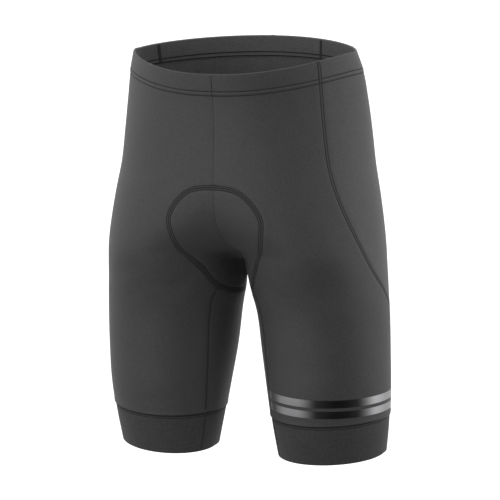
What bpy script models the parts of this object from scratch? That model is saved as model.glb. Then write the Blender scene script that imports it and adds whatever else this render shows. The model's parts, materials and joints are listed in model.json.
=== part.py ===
"""Cycling shorts in stretch knit, filled out as when worn and hollow inside.

Six panels, an elastic waistband and two leg grippers, each a wall of cloth of its own.
Metres, +Z up. The origin is the middle of the waist, +X is the wearer's left side and
-Y is the front. Every piece lies on one skin: a level cut through either half is an
ellipse, and an arch rounds the place where the two halves meet.
"""
from collections import namedtuple

import bmesh
import bpy
import numpy as np

# Cloth
WALL = 0.0014               # knit of a panel
CUFF_WALL = 0.0016          # ribbed gripper
BAND_WALL = 0.0026          # elastic in its turned-down casing
SEAM_GAP = 0.0003           # between two pieces that are sewn together
CUFF_STEP = 0.0010          # the gripper pulls in by this much at its seam
BAND_STEP = 0.0005          # the casing stands proud by this much

# Waist edge, hem and seams that run round
SIDE_RISE = 0.0115          # top edge at the side, above the origin
WAIST_DIP = 0.025           # how far the front edge lies below the side
WAIST_DIP_POWER = 2.0
WAIST_RISE = 0.014          # how far the back edge lies above the side
WAIST_RISE_POWER = 1.3
BAND_HEIGHT = 0.028
HEM_HEIGHT = -0.4995        # hem at the back of the leg
HEM_DROP = 0.0080           # the hem hangs this much lower in front
HEM_DROP_POWER = 1.0
HEM_TILT = 0.0020           # higher on the outer side and lower on the inner one
CUFF_HEIGHT = 0.0525

# Crotch
CROTCH_HEIGHT = -0.276
ARCH = 0.016                # rounds the skin across the centre line

# Level cuts through the left half. Outer, inner: reach of the ellipse from the centre
# line (an inner reach below zero crosses it). Front, back: depth. Middle: where the
# side lies. Lean: how much further back the outer side lies, for each metre of width.
# Pinch: how much flatter than an ellipse the cut is near the side.
Section = namedtuple("Section", "height outer inner front back middle lean pinch")
SECTIONS = (
    Section(0.0125, 0.1470, -0.1400, 0.1200, 0.0980, -0.006, 0.00, 0.22),
    Section(-0.0125, 0.1540, -0.1400, 0.1180, 0.1040, 0.000, 0.00, 0.20),
    Section(-0.0500, 0.1590, -0.1350, 0.1120, 0.1140, 0.004, 0.00, 0.12),
    Section(-0.0900, 0.1630, -0.1300, 0.1100, 0.1210, 0.006, 0.00, 0.04),
    Section(-0.1300, 0.1670, -0.1250, 0.1110, 0.1250, 0.006, 0.00, 0.00),
    Section(-0.1700, 0.1745, -0.1070, 0.1110, 0.1220, 0.003, 0.00, 0.00),
    Section(-0.2000, 0.1790, -0.0650, 0.1070, 0.1160, 0.001, 0.00, 0.00),
    Section(-0.2250, 0.1816, -0.0140, 0.1010, 0.1080, 0.000, 0.00, 0.00),
    Section(-0.2375, 0.1824, 0.0074, 0.0980, 0.1035, 0.0005, 0.00, 0.00),
    Section(-0.2500, 0.1832, 0.0146, 0.0950, 0.1000, 0.001, 0.00, 0.00),
    Section(-0.2640, 0.1843, 0.0157, 0.0900, 0.0978, 0.0025, -0.01, 0.00),
    Section(-0.2760, 0.1852, 0.0160, 0.0855, 0.0965, 0.0035, -0.015, 0.00),
    Section(-0.2900, 0.1862, 0.0168, 0.0805, 0.0948, 0.005, -0.03, 0.00),
    Section(-0.3200, 0.1880, 0.0210, 0.0725, 0.0920, 0.0085, -0.05, 0.00),
    Section(-0.3700, 0.1890, 0.0260, 0.0655, 0.0890, 0.010, -0.04, 0.00),
    Section(-0.4200, 0.1885, 0.0330, 0.0600, 0.0860, 0.010, 0.01, 0.00),
    Section(-0.4600, 0.1858, 0.0390, 0.0520, 0.0840, 0.011, 0.07, 0.00),
    Section(-0.5100, 0.1795, 0.0480, 0.0390, 0.0830, 0.013, 0.14, 0.00),
)

# The seams of the side panels, in degrees round each half from its outer side: minus is
# towards the front, plus towards the back. At the waist the cloth is turned a little
# towards the wearer's right, so the two halves differ down to the middle of the thigh.
SideSeams = namedtuple("SideSeams", "height left_front left_rear right_front right_rear")
SIDE_SEAMS = (
    SideSeams(0.015, -36.5, 26.0, -5.0, 60.0),
    SideSeams(-0.020, -38.5, 28.0, -7.0, 60.5),
    SideSeams(-0.090, -39.0, 34.0, -9.0, 61.0),
    SideSeams(-0.140, -37.3, 39.0, -10.0, 61.5),
    SideSeams(-0.170, -35.3, 42.5, -10.0, 62.0),
    SideSeams(-0.200, -32.0, 47.0, -9.0, 62.5),
    SideSeams(-0.225, -28.0, 51.5, -7.0, 63.5),
    SideSeams(-0.245, -22.5, 56.0, -3.5, 65.0),
    SideSeams(-0.265, -14.0, 61.0, 2.5, 67.0),
    SideSeams(-0.285, -1.5, 66.0, 11.5, 70.0),
    SideSeams(-0.305, 12.0, 71.0, 22.5, 73.5),
    SideSeams(-0.335, 33.0, 79.0, 40.0, 80.0),
    SideSeams(-0.375, 55.0, 88.0, 59.0, 88.5),
    SideSeams(-0.415, 70.0, 97.0, 72.0, 97.0),
    SideSeams(-0.460, 80.0, 104.0, 81.0, 104.0),
)

# The seam inside the leg, from the crotch to the gripper, in the same degrees.
InnerSeam = namedtuple("InnerSeam", "height angle")
INNER_SEAM = (
    InnerSeam(-0.276, -180.0),
    InnerSeam(-0.280, -166.0),
    InnerSeam(-0.286, -153.5),
    InnerSeam(-0.295, -146.5),
    InnerSeam(-0.320, -142.5),
    InnerSeam(-0.360, -142.5),
    InnerSeam(-0.400, -145.0),
    InnerSeam(-0.460, -149.5),
)

# How finely the skin is divided
SEAT_ROWS = 11              # from the waistband to the crotch
LEG_ROWS = 9                # from the crotch to the gripper
FRONT_COLUMNS = 13
BACK_COLUMNS = 11
SIDE_COLUMNS = 6
BAND_ROWS = 2
CUFF_ROWS = 3
BEND_POWER = 1.4            # how fast a row leaves its level at the centre seam
CURVE_SAMPLES = 400         # along a seam, to space the rows evenly on it
SETTLE_ROUNDS = 20
PROBE = 0.0002              # step for slopes: metres, or radians round the skin
LEAST_PACE = 0.01           # metres of skin for each radian, at the least
SHARP_ANGLE = 40.0          # degrees: edges that turn more are shown sharp

SIDES = (("left", 1), ("right", -1))

KNIT = (0.052, 0.052, 0.053, 1.0)
SIDE_KNIT = (0.062, 0.062, 0.064, 1.0)
BAND_KNIT = (0.046, 0.046, 0.047, 1.0)
CUFF_KNIT = (0.040, 0.040, 0.041, 1.0)


def remove_scene_objects():
    """Start from an empty scene."""
    for thing in list(bpy.context.scene.objects):
        bpy.data.objects.remove(thing, do_unlink=True)


def smooth(rows, column, height):
    """Read one column of a table at any height, on a smooth curve through its rows."""
    down = -np.array([row.height for row in rows])
    value = np.array([getattr(row, column) for row in rows])
    step = np.diff(down)
    slope = np.diff(value) / step
    tangent = np.empty_like(value)
    tangent[1:-1] = (slope[:-1] * step[1:] + slope[1:] * step[:-1]) / (step[1:] + step[:-1])
    tangent[0] = slope[0]
    tangent[-1] = slope[-1]
    at = -np.asarray(height, float)
    low = np.clip(np.searchsorted(down, at) - 1, 0, len(step) - 1)
    s = np.clip((at - down[low]) / step[low], -1.0, 1.2)
    start = (1 + 2 * s) * (1 - s) ** 2 * value[low] + s * (1 - s) ** 2 * step[low] * tangent[low]
    end = s * s * (3 - 2 * s) * value[low + 1] - s * s * (1 - s) * step[low] * tangent[low + 1]
    return start + end


def cut(height):
    """The section at a height, read from the table."""
    return Section(height, *(smooth(SECTIONS, name, height) for name in Section._fields[1:]))


def meeting_angle(height):
    """Angle from the outer side at which the skin reaches the centre line."""
    at = cut(height)
    centre = (at.outer + at.inner) / 2
    reach = (at.outer - at.inner) / 2
    return np.pi - np.arccos(np.clip((centre - ARCH) / reach, -1.0, 1.0))


def skin(angle, height):
    """Points of the left half's skin, at an angle round it and a height."""
    at = cut(height)
    reach = (at.outer - at.inner) / 2
    wide = (at.outer + at.inner) / 2 + reach * np.cos(angle)
    forward = np.sin(angle) < 0
    depth = np.where(forward, at.front + at.middle, at.back - at.middle)
    lean = at.lean * (wide - (at.outer + at.inner) / 2)
    y = at.middle + depth * np.sin(angle) * (1 - at.pinch * np.cos(angle) ** 2) + lean
    x = np.sqrt(np.maximum(wide ** 2 - ARCH ** 2, 0.0))
    return np.stack([x, y, height + 0 * angle], axis=-1)


def skin_level(point):
    """Zero on the skin, above zero outside it."""
    x, y, z = point[..., 0], point[..., 1], point[..., 2]
    at = cut(z)
    reach = (at.outer - at.inner) / 2
    across = np.sqrt(x ** 2 + ARCH ** 2) - (at.outer + at.inner) / 2
    along = y - at.middle - at.lean * across
    depth = np.where(along < 0, at.front + at.middle, at.back - at.middle)
    share = across / reach
    return share ** 2 + (along / (depth * (1 - at.pinch * share ** 2))) ** 2 - 1


def outward(point):
    """Unit vector square to the skin, pointing out of the cloth."""
    slope = np.stack([
        skin_level(point + PROBE * axis) - skin_level(point - PROBE * axis)
        for axis in np.eye(3)
    ], axis=-1)
    return slope / np.linalg.norm(slope, axis=-1, keepdims=True)


def waist_edge(angle):
    """Height of the top edge: it dips in front and rises at the back."""
    turn = np.sin(angle)
    dip = WAIST_DIP * np.abs(turn) ** WAIST_DIP_POWER
    rise = WAIST_RISE * np.abs(turn) ** WAIST_RISE_POWER
    return SIDE_RISE + np.where(turn < 0, -dip, rise)


def hem_edge(angle):
    """Height of the leg's hem: it hangs lower in front and on the inner side."""
    forward = np.maximum(-np.sin(angle), 0.0)
    return HEM_HEIGHT + HEM_TILT * np.cos(angle) - HEM_DROP * forward ** HEM_DROP_POWER


def cuff_seam(angle):
    """Height of the seam between a panel and its gripper."""
    return hem_edge(angle) + CUFF_HEIGHT


def settle(height_of, angle_of):
    """Where a seam that runs down crosses one that runs round: its height."""
    height = height_of(0.0)
    for _ in range(SETTLE_ROUNDS):
        height = height_of(angle_of(height))
    return float(height)


def under_band(angle):
    """Height of the seam between the waistband and a panel."""
    return waist_edge(angle) - BAND_HEIGHT


def side_seam(label, edge):
    """The front or rear seam of a side panel, as an angle for a height."""
    return lambda height: np.radians(smooth(SIDE_SEAMS, f"{label}_{edge}", height))


def inner_seam(height):
    """The seam inside the leg, as an angle for a height."""
    return np.radians(smooth(INNER_SEAM, "angle", height))


def even_heights(angle_of, top, foot, count, crowd=1.0):
    """Heights of points spaced evenly along a seam. Crowd above 1 samples its foot more."""
    share = np.linspace(0.0, 1.0, CURVE_SAMPLES)
    height = foot + (top - foot) * (1 - share) ** crowd
    run = skin(angle_of(height), height)
    length = np.concatenate([[0.0], np.cumsum(np.linalg.norm(np.diff(run, axis=0), axis=1))])
    return np.interp(np.linspace(0.0, length[-1], count + 1), length, height)


def centre_heights(facing):
    """Heights of the rows' ends: down the centre seam, then down the inside of the leg."""
    top = settle(under_band, lambda height: facing * meeting_angle(height))
    foot = settle(cuff_seam, inner_seam)
    seat = even_heights(lambda height: facing * meeting_angle(height),
                        top, CROTCH_HEIGHT, SEAT_ROWS, crowd=2.0)
    leg = even_heights(inner_seam, CROTCH_HEIGHT, foot, LEG_ROWS)
    return np.concatenate([seat, leg[1:]])


def seam_heights(angle_of, rows):
    """Heights of the rows' ends on a seam of the side panel, evenly down it."""
    return np.linspace(settle(under_band, angle_of), settle(cuff_seam, angle_of), rows + 1)


def part_seam(angle, height, towards):
    """Move an edge off its seam line by half the gap, round the skin."""
    moved = skin(angle + PROBE, height) - skin(angle, height)
    pace = np.linalg.norm(moved, axis=-1) / PROBE
    return angle + towards * SEAM_GAP / 2 / np.maximum(pace, LEAST_PACE)


def centre_panel(facing, seam, columns):
    """Points of a front (facing -1) or back (facing +1) panel: rows from top to foot."""
    inner = centre_heights(facing)
    outer = seam_heights(seam, len(inner) - 1)
    rows = []
    for row, (centre_height, side_height) in enumerate(zip(inner, outer)):
        share = np.linspace(0.0, 1.0, columns + 1)
        height = centre_height + (side_height - centre_height) * share ** BEND_POWER
        end = part_seam(seam(side_height), side_height, facing)
        if row <= SEAT_ROWS:
            start = facing * meeting_angle(height)
        else:
            line = inner_seam(height) if facing < 0 else 2 * np.pi + inner_seam(height)
            start = part_seam(line, height, -facing)
        angle = start + (end - start) * share
        if row == 0:
            height = under_band(angle) - SEAM_GAP
        elif row == len(inner) - 1:
            height = cuff_seam(angle) + SEAM_GAP
        points = skin(angle, height)
        if row <= SEAT_ROWS:
            points[0, 0] = SEAM_GAP / 2
        rows.append(points)
    return np.array(rows)


def side_panel(front, rear, columns):
    """Points of a side panel, from the front seam to the rear one."""
    rows = SEAT_ROWS + LEG_ROWS
    front_heights = seam_heights(front, rows)
    rear_heights = seam_heights(rear, rows)
    share = np.linspace(0.0, 1.0, columns + 1)
    grid = []
    for row, (fore, aft) in enumerate(zip(front_heights, rear_heights)):
        height = fore + (aft - fore) * share
        start = part_seam(front(fore), fore, 1)
        end = part_seam(rear(aft), aft, -1)
        angle = start + (end - start) * share
        if row == 0:
            height = under_band(angle) - SEAM_GAP
        elif row == rows:
            height = cuff_seam(angle) + SEAM_GAP
        grid.append(skin(angle, height))
    return np.array(grid)


def keep_off_centre(grid):
    """Hold a panel of the left half just clear of the centre line."""
    grid = grid.copy()
    grid[..., 0] = np.maximum(grid[..., 0], SEAM_GAP / 2)
    return grid


def add_faces(mesh, outer, inner, closed):
    """Triangles over the wall's two grids. Both are cut along the outer grid's shorter
    diagonals, so that the wall is even. A closed wall wraps round."""
    columns = len(outer[0])
    last = columns if closed else columns - 1
    for row in range(len(outer) - 1):
        for left in range(last):
            right = (left + 1) % columns
            places = ((row, left), (row, right), (row + 1, right), (row + 1, left))
            face = [outer[i][j] for i, j in places]
            back = [inner[i][j] for i, j in places]
            down = (face[0].co - face[2].co).length
            up = (face[1].co - face[3].co).length
            for corners in ((0, 1, 2), (0, 2, 3)) if down <= up else ((0, 1, 3), (1, 2, 3)):
                mesh.faces.new([face[corner] for corner in corners])
                mesh.faces.new([back[corner] for corner in reversed(corners)])


def add_rim(mesh, outer, inner, closed):
    """Faces that close the wall along one border."""
    count = len(outer) if closed else len(outer) - 1
    for left in range(count):
        right = (left + 1) % len(outer)
        mesh.faces.new((outer[left], outer[right], inner[right], inner[left]))


def cloth_wall(name, outer, inner, closed, material):
    """One closed solid: an outer grid, an inner grid and the rims between them."""
    mesh = bmesh.new()
    out = [[mesh.verts.new(point) for point in row] for row in outer]
    back = [[mesh.verts.new(point) for point in row] for row in inner]
    add_faces(mesh, out, back, closed)
    add_rim(mesh, out[0], back[0], closed)
    add_rim(mesh, out[-1], back[-1], closed)
    if not closed:
        add_rim(mesh, [row[0] for row in out], [row[0] for row in back], closed)
        add_rim(mesh, [row[-1] for row in out], [row[-1] for row in back], closed)
    bmesh.ops.recalc_face_normals(mesh, faces=mesh.faces)
    data = bpy.data.meshes.new(name)
    mesh.to_mesh(data)
    mesh.free()
    data.materials.append(material)
    data.shade_smooth()
    data.set_sharp_from_angle(angle=np.radians(SHARP_ANGLE))
    piece = bpy.data.objects.new(name, data)
    bpy.context.scene.collection.objects.link(piece)
    return piece


def mirrored(grid, side):
    """The same points on the wearer's left (side +1) or right (side -1)."""
    return grid * np.array([side, 1.0, 1.0])


def knit_material(name, colour, roughness):
    """Matt stretch knit."""
    material = bpy.data.materials.new(name)
    material.use_nodes = True
    surface = material.node_tree.nodes["Principled BSDF"]
    surface.inputs["Base Color"].default_value = colour
    surface.inputs["Roughness"].default_value = roughness
    surface.inputs["Metallic"].default_value = 0.0
    return material


def add_panel(name, grid, side, material):
    """One panel, on the wearer's left (side +1) or right (side -1)."""
    outer = keep_off_centre(grid)
    inner = keep_off_centre(grid - WALL * outward(grid))
    cloth_wall(name, mirrored(outer, side), mirrored(inner, side), False, material)


def panel_angles(label, crossing, start, end):
    """Angles round one half at a seam that runs round, on the columns of its panels."""
    stops = [start(settle(crossing, start))]
    for edge in ("front", "rear"):
        seam = side_seam(label, edge)
        stops.append(seam(settle(crossing, seam)))
    stops.append(end(settle(crossing, end)))
    counts = (FRONT_COLUMNS, SIDE_COLUMNS, BACK_COLUMNS)
    runs = [np.linspace(a, b, count + 1)[:-1] for a, b, count in zip(stops, stops[1:], counts)]
    return np.concatenate(runs + [stops[-1:]])


def add_waistband(material):
    """The elastic casing: one ring round both halves."""
    rows = []
    for drop in np.linspace(0.0, BAND_HEIGHT, BAND_ROWS + 1):
        halves = []
        for label, side in SIDES:
            angles = panel_angles(label, under_band, lambda height: -meeting_angle(height),
                                  meeting_angle)
            half = skin(angles, waist_edge(angles) - drop)
            half[[0, -1], 0] = 0.0
            halves.append(mirrored(half, side))
        rows.append(np.concatenate([halves[0], halves[1][-2:0:-1]]))
    grid = np.array(rows)
    square = outward(grid)
    cloth_wall("waistband", grid + BAND_STEP * square,
               grid + (BAND_STEP - BAND_WALL) * square, True, material)


def add_cuff(label, side, material):
    """A leg gripper: a ring at the foot of the leg."""
    angles = panel_angles(label, cuff_seam, inner_seam,
                          lambda height: 2 * np.pi + inner_seam(height))[:-1]
    rows = []
    for share in np.linspace(0.0, 1.0, CUFF_ROWS + 1):
        rows.append(skin(angles, cuff_seam(angles) - CUFF_HEIGHT * share))
    grid = np.array(rows)
    square = outward(grid)
    outer = grid - CUFF_STEP * square
    inner = outer - CUFF_WALL * square
    cloth_wall(f"cuff_{label}", mirrored(outer, side), mirrored(inner, side), True, material)


def main():
    """Build every piece of the shorts."""
    remove_scene_objects()
    add_waistband(knit_material("band_knit", BAND_KNIT, 0.70))
    panel_knit = knit_material("panel_knit", KNIT, 0.62)
    side_knit = knit_material("side_knit", SIDE_KNIT, 0.62)
    gripper_knit = knit_material("gripper_knit", CUFF_KNIT, 0.75)
    for label, side in SIDES:
        front = side_seam(label, "front")
        rear = side_seam(label, "rear")
        add_panel(f"front_{label}", centre_panel(-1, front, FRONT_COLUMNS), side, panel_knit)
        add_panel(f"back_{label}", centre_panel(1, rear, BACK_COLUMNS), side, panel_knit)
        add_panel(f"side_{label}", side_panel(front, rear, SIDE_COLUMNS), side, side_knit)
        add_cuff(label, side, gripper_knit)


main()
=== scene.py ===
"""Looks of the cycling shorts: cloth, seams, stitches, reflective stripes and the studio.

Metres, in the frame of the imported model: +X is the wearer's left side, -Y the front and
+Z up, from the middle of the waist. The cloth is drawn on the same skin as the solids,
which is an oval round each leg, and more finely.
"""
import json
from collections import namedtuple

import bpy
import numpy as np
from bpy.props import FloatProperty, FloatVectorProperty, IntProperty, PointerProperty
from bpy.types import Operator, Panel, PropertyGroup
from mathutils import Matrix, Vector


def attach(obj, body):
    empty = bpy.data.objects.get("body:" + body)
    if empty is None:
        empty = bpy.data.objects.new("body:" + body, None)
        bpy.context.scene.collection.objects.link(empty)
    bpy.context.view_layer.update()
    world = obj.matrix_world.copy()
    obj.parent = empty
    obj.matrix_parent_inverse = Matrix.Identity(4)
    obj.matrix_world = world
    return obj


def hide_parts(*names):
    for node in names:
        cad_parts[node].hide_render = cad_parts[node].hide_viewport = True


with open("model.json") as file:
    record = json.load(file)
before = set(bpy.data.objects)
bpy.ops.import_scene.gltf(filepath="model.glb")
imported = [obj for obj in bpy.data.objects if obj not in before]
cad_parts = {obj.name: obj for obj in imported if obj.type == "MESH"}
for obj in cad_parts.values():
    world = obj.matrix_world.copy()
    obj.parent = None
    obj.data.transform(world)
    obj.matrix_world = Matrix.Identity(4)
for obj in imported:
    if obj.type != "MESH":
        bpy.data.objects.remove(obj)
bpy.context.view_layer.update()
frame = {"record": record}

bl_info = {
    "name": "Cycling shorts",
    "version": (1, 0, 0),
    "blender": (4, 5, 0),
    "location": "3D View > Sidebar > Shorts",
    "description": "Dresses a hollow pair of cycling shorts with knit, seams and stripes",
    "category": "Object",
}

SLOTS = {entry["slot"]: entry for entry in frame["record"]["materials"]}


def table(fields, *rows):
    """Columns of numbers by name, from rows of them."""
    return namedtuple("Table", fields)(*np.array(rows).T)


# Walls and steps, as in the solids
WALL = 0.0014
CUFF_WALL = 0.0016
BAND_WALL = 0.0026
SEAM_GAP = 0.0003
CUFF_STEP = 0.0010
BAND_STEP = 0.0005
BAND_HEIGHT = 0.028
CUFF_HEIGHT = 0.0525

# Edges that run round
SIDE_RISE = 0.0115
WAIST_DIP = 0.025
WAIST_DIP_POWER = 2.0
WAIST_RISE = 0.014
WAIST_RISE_POWER = 1.3
HEM_HEIGHT = -0.4995
HEM_DROP = 0.0080
HEM_DROP_POWER = 1.0
HEM_TILT = 0.0020
CROTCH_HEIGHT = -0.276
ARCH = 0.016                # rounds the skin across the centre line

# Level cuts through the left half: the reach of the oval to its outer and inner side, its
# depth in front and behind, and how it leans and flattens.
SECTIONS = table(
    "height outer inner front back middle lean pinch",
    (0.0125, 0.1470, -0.1400, 0.1200, 0.0980, -0.006, 0.00, 0.22),
    (-0.0125, 0.1540, -0.1400, 0.1180, 0.1040, 0.000, 0.00, 0.20),
    (-0.0500, 0.1590, -0.1350, 0.1120, 0.1140, 0.004, 0.00, 0.12),
    (-0.0900, 0.1630, -0.1300, 0.1100, 0.1210, 0.006, 0.00, 0.04),
    (-0.1300, 0.1670, -0.1250, 0.1110, 0.1250, 0.006, 0.00, 0.00),
    (-0.1700, 0.1745, -0.1070, 0.1110, 0.1220, 0.003, 0.00, 0.00),
    (-0.2000, 0.1790, -0.0650, 0.1070, 0.1160, 0.001, 0.00, 0.00),
    (-0.2250, 0.1816, -0.0140, 0.1010, 0.1080, 0.000, 0.00, 0.00),
    (-0.2375, 0.1824, 0.0074, 0.0980, 0.1035, 0.0005, 0.00, 0.00),
    (-0.2500, 0.1832, 0.0146, 0.0950, 0.1000, 0.001, 0.00, 0.00),
    (-0.2640, 0.1843, 0.0157, 0.0900, 0.0978, 0.0025, -0.01, 0.00),
    (-0.2760, 0.1852, 0.0160, 0.0855, 0.0965, 0.0035, -0.015, 0.00),
    (-0.2900, 0.1862, 0.0168, 0.0805, 0.0948, 0.005, -0.03, 0.00),
    (-0.3200, 0.1880, 0.0210, 0.0725, 0.0920, 0.0085, -0.05, 0.00),
    (-0.3700, 0.1890, 0.0260, 0.0655, 0.0890, 0.010, -0.04, 0.00),
    (-0.4200, 0.1885, 0.0330, 0.0600, 0.0860, 0.010, 0.01, 0.00),
    (-0.4600, 0.1858, 0.0390, 0.0520, 0.0840, 0.011, 0.07, 0.00),
    (-0.5100, 0.1795, 0.0480, 0.0390, 0.0830, 0.013, 0.14, 0.00),
)

# Seams of the side panels, in degrees round each half from its outer side. The cloth is
# turned a little towards the wearer's right at the waist.
SIDE_SEAMS = table(
    "height left_front left_rear right_front right_rear",
    (0.015, -36.5, 26.0, -5.0, 60.0),
    (-0.020, -38.5, 28.0, -7.0, 60.5),
    (-0.090, -39.0, 34.0, -9.0, 61.0),
    (-0.140, -37.3, 39.0, -10.0, 61.5),
    (-0.170, -35.3, 42.5, -10.0, 62.0),
    (-0.200, -32.0, 47.0, -9.0, 62.5),
    (-0.225, -28.0, 51.5, -7.0, 63.5),
    (-0.245, -22.5, 56.0, -3.5, 65.0),
    (-0.265, -14.0, 61.0, 2.5, 67.0),
    (-0.285, -1.5, 66.0, 11.5, 70.0),
    (-0.305, 12.0, 71.0, 22.5, 73.5),
    (-0.335, 33.0, 79.0, 40.0, 80.0),
    (-0.375, 55.0, 88.0, 59.0, 88.5),
    (-0.415, 70.0, 97.0, 72.0, 97.0),
    (-0.460, 80.0, 104.0, 81.0, 104.0),
)

# The seam inside the leg, from the crotch to the gripper
INNER_SEAM = table(
    "height angle",
    (-0.276, -180.0), (-0.280, -166.0), (-0.286, -153.5), (-0.295, -146.5),
    (-0.320, -142.5), (-0.360, -142.5), (-0.400, -145.0), (-0.460, -149.5),
)

# The last stretch of that seam up to the centre seam, as it shows in front
CROTCH_SEAM = table(
    "height angle",
    (-0.2390, -155.5), (-0.2534, -160.0), (-0.2646, -155.8), (-0.2747, -152.3),
    (-0.2860, -148.6),
)

# The seam that holds the seat pad: in front and under the crotch it is given by its angle,
# and behind by how far it lies from the centre line.
PAD_FRONT = table(
    "height angle",
    (-0.1540, -91.5), (-0.1575, -87.2), (-0.1660, -84.0), (-0.1785, -82.6),
    (-0.1920, -84.0), (-0.2050, -89.5), (-0.2200, -100.5), (-0.2340, -114.0),
    (-0.2470, -127.0), (-0.2600, -135.8), (-0.2720, -141.5), (-0.2800, -145.5),
    (-0.2855, -149.5), (-0.2890, -155.5), (-0.2925, -162.0), (-0.2948, -169.0),
    (-0.2955, -177.0), (-0.2935, -187.0), (-0.2870, -197.0),
)
PAD_BACK = table(
    "height width",
    (-0.2760, 0.0250), (-0.2600, 0.0380), (-0.2400, 0.0510), (-0.2150, 0.0610),
    (-0.1850, 0.0655), (-0.1550, 0.0605), (-0.1300, 0.0460), (-0.1150, 0.0260),
)
PAD_TOP = -0.1528           # on the centre seam in front
PAD_TAIL = -0.1090          # on the centre seam behind

# Soft troughs in the cloth, on both halves: where each starts and ends, how wide it is and
# how deep.
Fold = namedtuple("Fold", "height angle end_height end_angle width depth")
FOLDS = (
    Fold(-0.232, -100.0, -0.268, -60.0, 0.0130, 0.0006),
    Fold(-0.262, -132.0, -0.312, -96.0, 0.0120, 0.0006),
    Fold(-0.430, -120.0, -0.438, -60.0, 0.0060, 0.0002),
    Fold(-0.236, 120.0, -0.262, 84.0, 0.0110, 0.0012),
    Fold(-0.284, 160.0, -0.322, 118.0, 0.0100, 0.0010),
)

# The two stripes on the left leg: heights at the side, measured up the leg
Stripe = namedtuple("Stripe", "name top foot")
STRIPES = (
    Stripe("upper", -0.4150, -0.4250),
    Stripe("lower", -0.4295, -0.4390),
)
STRIPE_DROP = 0.0050        # how much lower they run in front
STRIPE_DROP_POWER = 1.5
STRIPE_ENDS = (-146.5, 75.0)
# Painted reflection: the film's colour is drawn dark on a stretch along the stripe, for the dark
# room that it mirrors in front of it. Where that painted dark stretch has its middle along the
# stripe, how far it is fully dark to each side, and where it is fully bright
FILM_PAINTED_REFLECTION = (-0.040, 0.024, 0.054)

# Joins of the waistband's casing that show inside: the half, and the angle from the outer side
# at the top and at the foot
BAND_JOINS = (("left", 1, 58.5, 63.5), ("right", -1, 23.5, 28.0))

# How sewing shapes the cloth: the depth of each dip or the height of each ridge, and its width
SIDE_DIP = (0.00030, 0.0030)
INNER_DIP = (0.00025, 0.0028)
PAD_DIP = (0.00045, 0.0034)
CENTRE_DIP = (0.00050, 0.0016)
BAND_DIP = (0.00035, 0.0007)
BAND_RIDGE = (0.00020, 0.0014)
CUFF_DIP = (0.00025, 0.0007)
CUFF_RIDGE = (0.00030, 0.0014)
PANEL_EASE = (0.00045, 0.0022)
EASE_HEIGHT = 0.0012        # of that last ridge above the gripper
SWELL = (0.4, 0.0065, 0.0040)   # beside a dip: share of its depth, how far off, and width
BAND_THINS = 0.0022         # how far above its foot the waistband starts to thin
SEAM_SINK = 0.0003          # of a seam's line in the panels

# Threads. Those of a cover stitch lie side by side, and are drawn as one, thicker.
COVER_THREADS = 1.8
CROSS_THREAD = 0.40         # thickness of the crossing threads as a share of the rows'
CROSS_SINK = 0.15           # how much lower they lie, as a share of the thickness
THREAD_HEIGHT = 0.6         # as a share of the thickness
STITCH_FILL = 0.74          # length of a stitch as a share of the pitch
SEAM_LIFT = 0.00022         # of the stitches on a flat seam
ROW_LIFT = 0.00006          # of the stitches on plain cloth

# Widths of what is sewn. Shares are of the flat seams' width.
CUFF_JOIN = 0.0026          # painted shade of the turned edge above each gripper
GROOVE = 0.0015             # the cloth that a row of stitches draws in, drawn in painted shade
ROW_WIDTH = 0.0013          # the cloth that the needle rows of a flat seam draw in, drawn in painted shade
NEEDLE_SHARE = 0.36         # from the middle of a flat seam to its outer rows
PAD_SHARE = 1.5
INNER_SHARE = 0.6
FRONT_JOIN_SHARE = 0.22
INSIDE_JOIN_SHARE = 0.9
FRONT_JOIN_SINK = 0.00012
STRIP_DEPTH = 0.0005        # how deep the foot of a welt lies in the cloth
# The form of a welt: shares of its width from the middle, and heights there
STRIP_SHARES = (-0.5, -0.40, -0.22, 0.0, 0.22, 0.40, 0.5)
STRIP_HEIGHTS = (-0.00005, 0.00022, 0.00016, 0.00026, 0.00016, 0.00022, -0.00005)

# From a seam's end to a free edge, to a join across it, and to the waistband's foot
EDGE_INSET = 0.0006
JOIN_INSET = 0.0004
BAND_INSET = 0.0005

# Tones as shares of the panels' colour
BACK_TONE = 2.9             # inside the shorts
WELT_TONE = 1.05            # a flat seam, and the painted shade of its needle rows
NEEDLE_SHADE_TONE = 0.12
INNER_TONE = 0.62           # the seam inside the leg
JOIN_SHADE_TONE = 0.22            # painted shade where cloth is turned or drawn in

# How finely the cloth is drawn
SEAT_ROWS = 96
LEG_ROWS = 72
FRONT_COLUMNS = 88
BACK_COLUMNS = 76
SIDE_COLUMNS = 54
PANEL_CROWD = 3.0           # how much closer the columns lie at a panel's seams
TOP_CROWD = 2.0             # and its rows at the top
FOOT_CROWD = 4.0            # and at the foot
CROWD_REACH = 0.05          # how far that reaches, as a share of the grid
BAND_COLUMNS = 260          # round one half
BAND_ROWS = 32
CUFF_COLUMNS = 260
CUFF_ROWS = 40
FOLD_ROWS = 5               # over a quarter of a rolled edge
FOLD_TURN = 84.0            # degrees of that quarter that are drawn
STRIPE_COLUMNS = 260
STRIPE_ROWS = 9
CURVE_SAMPLES = 400
LINE_CHUNK = 64             # points of a line measured at once, to save memory
CURVE_STEPS = 12            # between two given points of a curve
TROUGH_POINTS = 60
SETTLE_ROUNDS = 20
SKIN_ROUNDS = 4
BEND_POWER = 1.4
SHARP_ANGLE = 60.0
PROBE = 0.0002
LEAST_PACE = 0.01
LINE_STEP = 0.0015          # between points of a seam line

BODY = "root"


def length_setting(name, text, value, least, most):
    """A size in metres."""
    return FloatProperty(
        name=name, description=text, default=value, min=least, max=most, unit="LENGTH")


def colour_setting(name, text, slot):
    """A colour that starts as one of the record's."""
    return FloatVectorProperty(
        name=name, description=text, subtype="COLOR", size=3, min=0.0, max=1.0,
        default=SLOTS[slot]["base_color"])


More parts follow.
